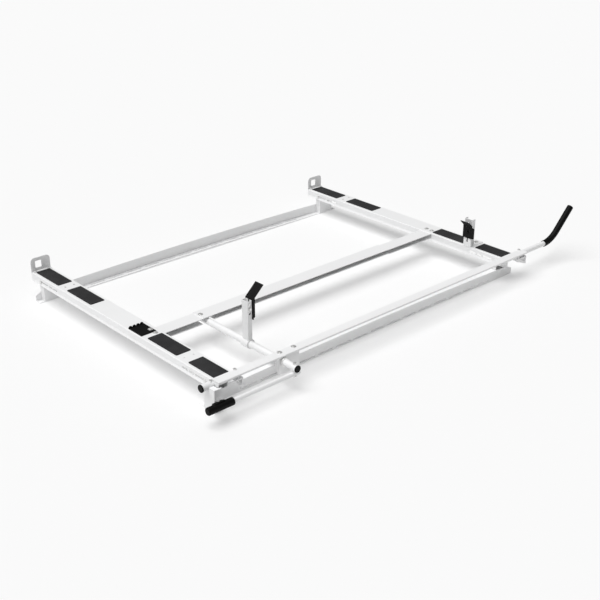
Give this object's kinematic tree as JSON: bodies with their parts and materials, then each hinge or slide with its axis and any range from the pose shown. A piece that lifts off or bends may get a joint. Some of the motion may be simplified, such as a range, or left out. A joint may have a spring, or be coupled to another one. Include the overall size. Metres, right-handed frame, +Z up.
{
  "type": "van roof ladder rack",
  "caption": "Steel van-roof ladder rack: padded crossbars on side rails, a swinging guide arm and a lever-operated ladder clamp with adjustable hooks.",
  "frame": {"origin": "on the roof plane, at the centre of the four roof bolt holes", "axes": "+Z up from the roof, +X along the van from the lever end towards the guide arm, +Y across the van from the lever side towards the ladder stops"},
  "size_m": [2.5576, 1.574, 0.3606],
  "materials": {
    "white_powder_coat": "gloss powder coat",
    "black_rubber": "matt",
    "pad_rubber": "grained",
    "zinc_steel": "zinc plated",
    "black_coating": "dipped black",
    "black_plastic": "moulded"
  },
  "bodies": {
    "rack_frame": {"bearing_plate": "white_powder_coat", "channel_bolts": "zinc_steel", "channel_bracket_far": "white_powder_coat", "channel_bracket_near": "white_powder_coat", "clamp_saddle": "white_powder_coat", "crossbar_far": "white_powder_coat", "crossbar_near": "white_powder_coat", "far_post": "white_powder_coat", "foot_base_screws": "zinc_steel", "foot_bolts_inner": "zinc_steel", "foot_bolts_outer": "zinc_steel", "foot_inner_far": "white_powder_coat", "foot_inner_near": "white_powder_coat", "foot_outer_far": "white_powder_coat", "foot_outer_near": "white_powder_coat", "grip_pad_far_1": "pad_rubber", "grip_pad_far_2": "pad_rubber", "grip_pad_far_3": "pad_rubber", "grip_pad_far_4": "pad_rubber", "grip_pad_near_1": "pad_rubber", "grip_pad_near_2": "pad_rubber", "grip_pad_near_3": "pad_rubber", "grip_pad_near_4": "pad_rubber", "guide_socket_far": "white_powder_coat", "guide_socket_near": "white_powder_coat", "handle_clip": "black_plastic", "ladder_rest": "black_rubber", "ladder_rest_bolt": "zinc_steel", "ladder_stop_far": "white_powder_coat", "ladder_stop_near": "white_powder_coat", "ladder_stop_screws": "zinc_steel", "latch_bolt": "zinc_steel", "latch_bracket": "white_powder_coat", "middle_bolts": "zinc_steel", "middle_bracket_far": "white_powder_coat", "middle_bracket_near": "white_powder_coat", "middle_rail": "white_powder_coat", "outer_channel": "white_powder_coat", "pad_gap_screws": "zinc_steel", "saddle_bolts": "zinc_steel", "shaft_bush_inner": "black_plastic", "shaft_bush_outer": "zinc_steel", "side_rail_inner": "white_powder_coat", "side_rail_outer": "white_powder_coat", "socket_plug": "black_plastic", "socket_screws": "zinc_steel"},
    "clamp": {"clamp_shaft": "white_powder_coat", "shaft_cap": "black_plastic", "clamp_post": "white_powder_coat", "handle_rod": "white_powder_coat", "handle_grip": "black_rubber", "handle_bolt": "zinc_steel"},
    "near_hook_slider": {"near_hook": "black_coating", "near_hook_block": "zinc_steel", "near_hook_bolt": "zinc_steel"},
    "far_hook_slider": {"far_hook": "black_coating", "far_hook_bolt": "black_coating"},
    "swing_arm": {"guide_arm": "white_powder_coat", "guide_sleeve": "black_rubber"}
  },
  "joints": [
    {"name": "clamp_turn", "type": "hinge", "parent": "rack_frame", "child": "clamp", "pos_m": [-0.634, -0.74, 0.1], "axis": [0, 1, 0], "range_deg": [-75, 0]},
    {"name": "near_hook_slide", "type": "slide", "parent": "clamp", "child": "near_hook_slider", "axis": [0, 0, 1], "range_m": [-0.02, 0.02]},
    {"name": "far_hook_slide", "type": "slide", "parent": "rack_frame", "child": "far_hook_slider", "axis": [0, 0, 1], "range_m": [-0.035, 0.045]},
    {"name": "guide_arm_turn", "type": "hinge", "parent": "rack_frame", "child": "swing_arm", "pos_m": [0.9, -0.7, 0.1075], "axis": [1, 0, 0], "range_deg": [-90, 90]}
  ]
}
